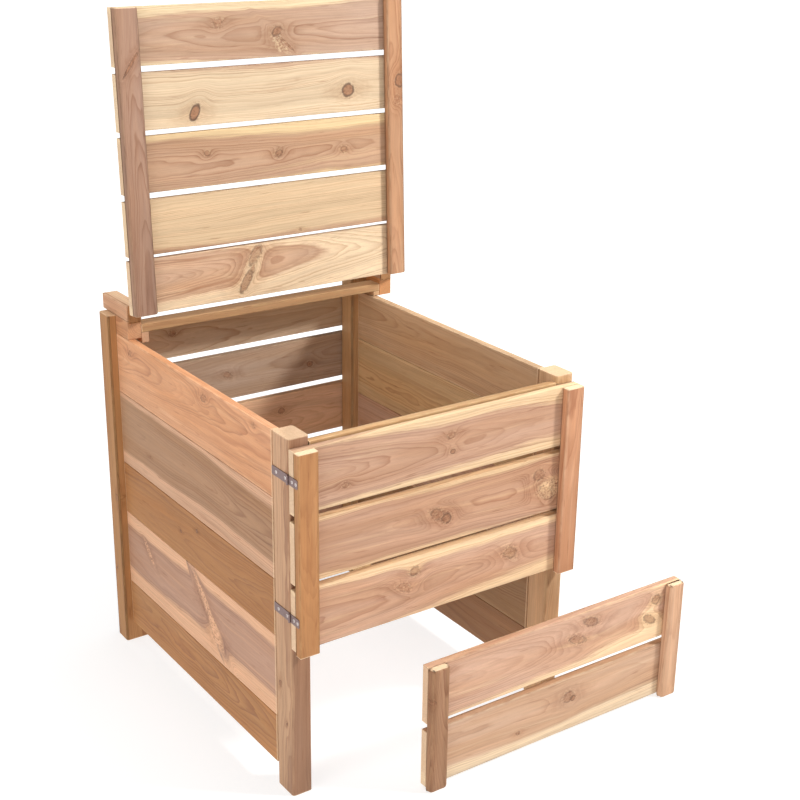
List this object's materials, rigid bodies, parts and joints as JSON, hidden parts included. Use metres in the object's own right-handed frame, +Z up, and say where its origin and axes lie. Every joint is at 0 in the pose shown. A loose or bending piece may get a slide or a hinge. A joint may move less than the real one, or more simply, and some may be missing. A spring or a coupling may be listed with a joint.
{
  "type": "compost bin",
  "caption": "Board-built compost bin with a back-hinged slatted lid, a side-hinged slatted front door and a lift-off lower front panel.",
  "frame": {"origin": "on the ground, at the middle of the front left post's foot", "axes": "+Z up, -Y is the front with the door, +X is the right side seen from the front"},
  "size_m": [1.017, 1.043, 1.6022],
  "materials": {
    "cedar": "planed cedar boards, pink-brown heart and cream sapwood, untreated",
    "hinge_steel": "dull zinc-plated steel"
  },
  "bodies": {
    "door": {"door_board_1": "cedar", "door_board_2": "cedar", "door_board_3": "cedar", "door_hinge_door_leaf_lower": "hinge_steel", "door_hinge_door_leaf_upper": "hinge_steel", "door_left_batten": "cedar", "door_right_batten": "cedar"},
    "bin": {"door_hinge_pin_lower": "hinge_steel", "door_hinge_pin_upper": "hinge_steel", "door_hinge_post_leaf_lower": "hinge_steel", "door_hinge_post_leaf_upper": "hinge_steel", "front_left_post": "cedar", "front_right_post": "cedar", "front_top_rail": "cedar", "left_hinge_beam": "cedar", "left_hinge_block": "cedar", "left_rail_cleat": "cedar", "left_side_board_1": "cedar", "left_side_board_2": "cedar", "left_side_board_3": "cedar", "left_side_board_4": "cedar", "left_side_board_5": "cedar", "lid_hinge_beam_leaf_left": "hinge_steel", "lid_hinge_beam_leaf_right": "hinge_steel", "lid_hinge_pin_left": "hinge_steel", "lid_hinge_pin_right": "hinge_steel", "rear_board_1": "cedar", "rear_board_2": "cedar", "rear_board_3": "cedar", "rear_board_4": "cedar", "rear_board_5": "cedar", "rear_board_6": "cedar", "rear_cross_rail": "cedar", "rear_left_post": "cedar", "rear_right_post": "cedar", "right_hinge_beam": "cedar", "right_hinge_block": "cedar", "right_rail_cleat": "cedar", "right_side_board_1": "cedar", "right_side_board_2": "cedar", "right_side_board_3": "cedar", "right_side_board_4": "cedar", "right_side_board_5": "cedar"},
    "lid": {"lid_board_1": "cedar", "lid_board_2": "cedar", "lid_board_3": "cedar", "lid_board_4": "cedar", "lid_board_5": "cedar", "lid_hinge_lid_leaf_left": "hinge_steel", "lid_hinge_lid_leaf_right": "hinge_steel", "lid_left_batten": "cedar", "lid_right_batten": "cedar"},
    "lower_panel": {"lower_board_1": "cedar", "lower_board_2": "cedar", "lower_left_batten": "cedar", "lower_right_batten": "cedar"}
  },
  "joints": [
    {"name": "lid_hinge", "type": "hinge", "parent": "bin", "child": "lid", "pos_m": [0.347, 0.71185, 0.87915], "axis": [1, 0, 0], "range_deg": [0, 92.6]},
    {"name": "door_hinge", "type": "hinge", "parent": "bin", "child": "door", "pos_m": [-0.0279, -0.0335, 0.5975], "axis": [0, 0, -1], "range_deg": [0, 175]},
    {"name": "lower_panel_lift_off", "type": "slide", "parent": "bin", "child": "lower_panel", "axis": [-0.8907, 0.4207, 0.1725], "range_m": [0, 0.28406]}
  ]
}
